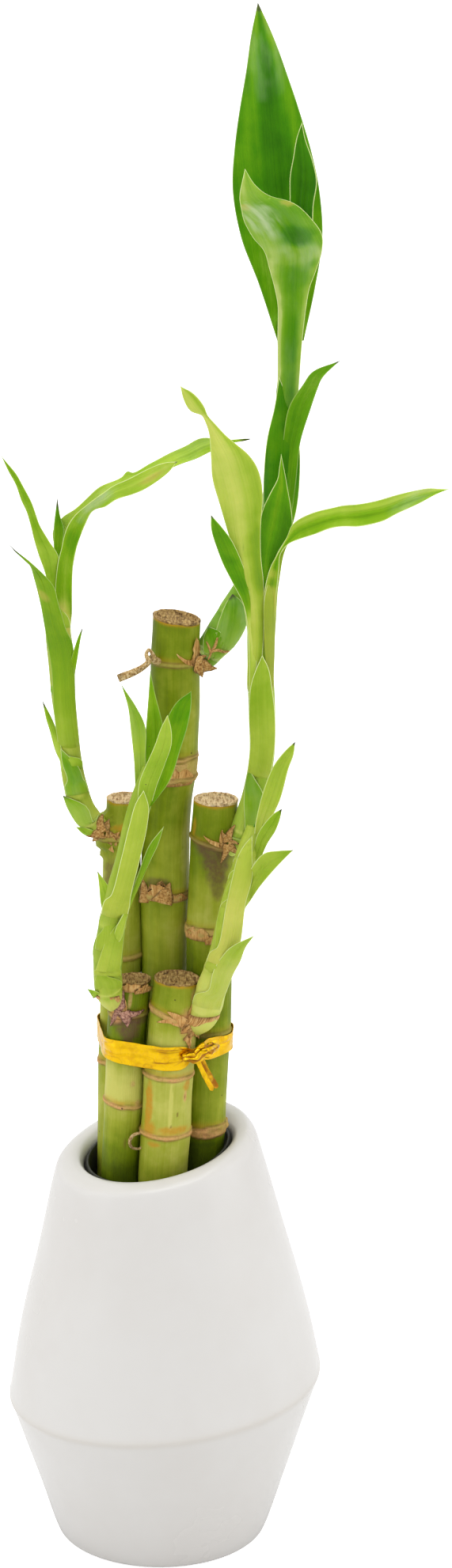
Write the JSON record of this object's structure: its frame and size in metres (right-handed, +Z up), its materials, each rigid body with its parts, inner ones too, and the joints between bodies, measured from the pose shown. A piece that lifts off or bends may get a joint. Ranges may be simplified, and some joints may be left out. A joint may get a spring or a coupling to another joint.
{
  "type": "lucky bamboo in a pot",
  "caption": "Lucky bamboo: cut canes with leafy side shoots, bound by a foil strip, standing in soil in a slanted glazed pot.",
  "frame": {"origin": "centre of the pot's flat foot, on the surface that it stands on", "axes": "+Z up along the canes, -Y towards the front of the plant, +X to the right, where the pot's rim is highest"},
  "size_m": [0.1362, 0.1004, 0.4881],
  "materials": {
    "glaze": "glossy warm white glaze",
    "liner": "dark plastic, satin",
    "soil": null,
    "cane": "satin green bark with brown ring scars",
    "dark_leaf": null,
    "light_leaf": null,
    "foil": "metallised gold film, crumpled"
  },
  "bodies": {
    "root": {"pot": "glaze", "liner": "liner", "soil": "soil", "cane_tall": "cane", "cane_back_left": "cane", "cane_back_right": "cane", "cane_front_left": "cane", "cane_front_middle": "cane", "shoot_tall": "dark_leaf", "shoot_back_left": "light_leaf", "shoot_back_right": "light_leaf", "shoot_front_left": "light_leaf", "shoot_front_middle": "light_leaf", "foil_tie": "foil"}
  },
  "joints": []
}
